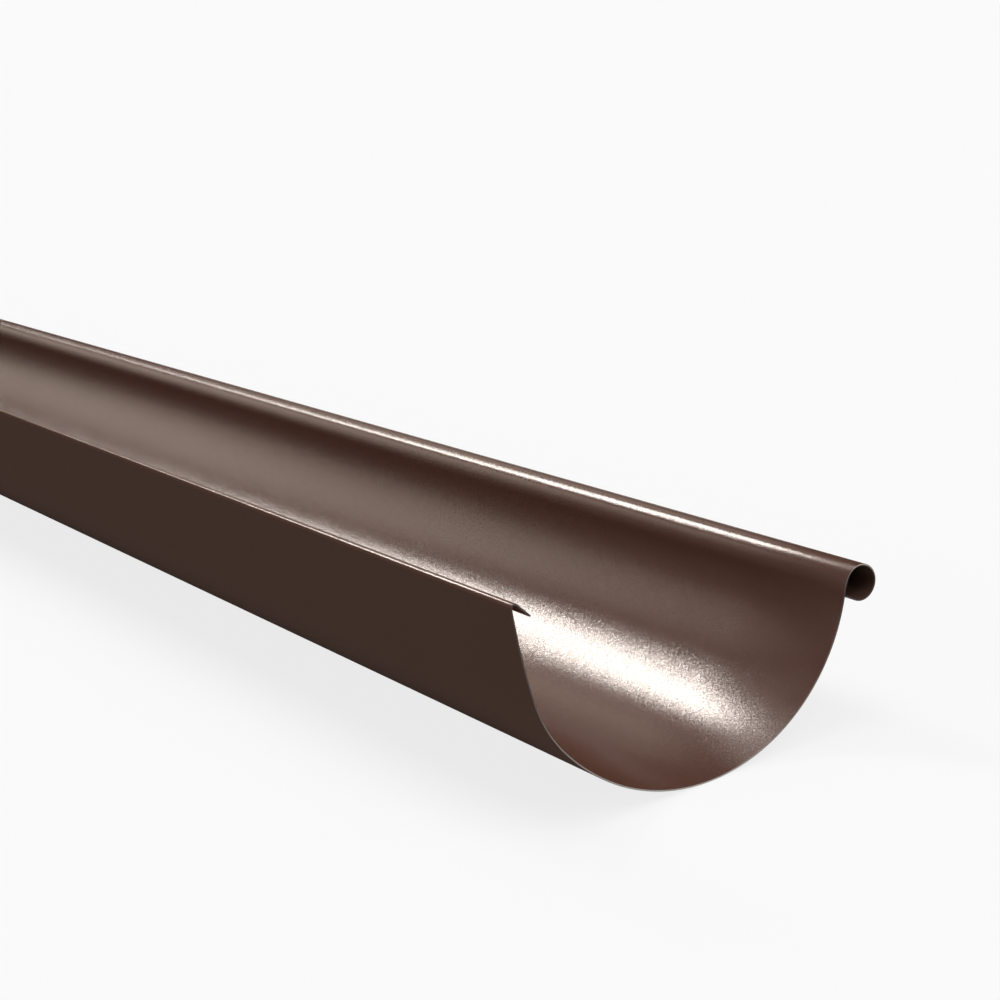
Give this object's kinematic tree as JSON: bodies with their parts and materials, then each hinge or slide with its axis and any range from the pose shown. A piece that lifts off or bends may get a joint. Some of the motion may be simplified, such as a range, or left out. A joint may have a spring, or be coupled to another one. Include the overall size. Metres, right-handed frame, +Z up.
{
  "type": "gutter section",
  "caption": "Half-round rainwater gutter rolled from brown painted steel sheet, open at both ends, with a beaded front edge and a lipped rear edge.",
  "frame": {"origin": "on the level floor that the gutter rests on, under the middle of its bounding box", "axes": "+X along the gutter, +Y from the lipped rear edge to the beaded front edge, +Z up. The gutter lies as it comes to rest unheld, rolled 9.1 degrees towards its bead."},
  "size_m": [3, 0.1354, 0.0768],
  "materials": {
    "brown_paint": "chocolate brown coil-coated paint with a fine grain, satin, bare at the sawn ends"
  },
  "bodies": {
    "root": {"gutter": "brown_paint"}
  },
  "joints": []
}
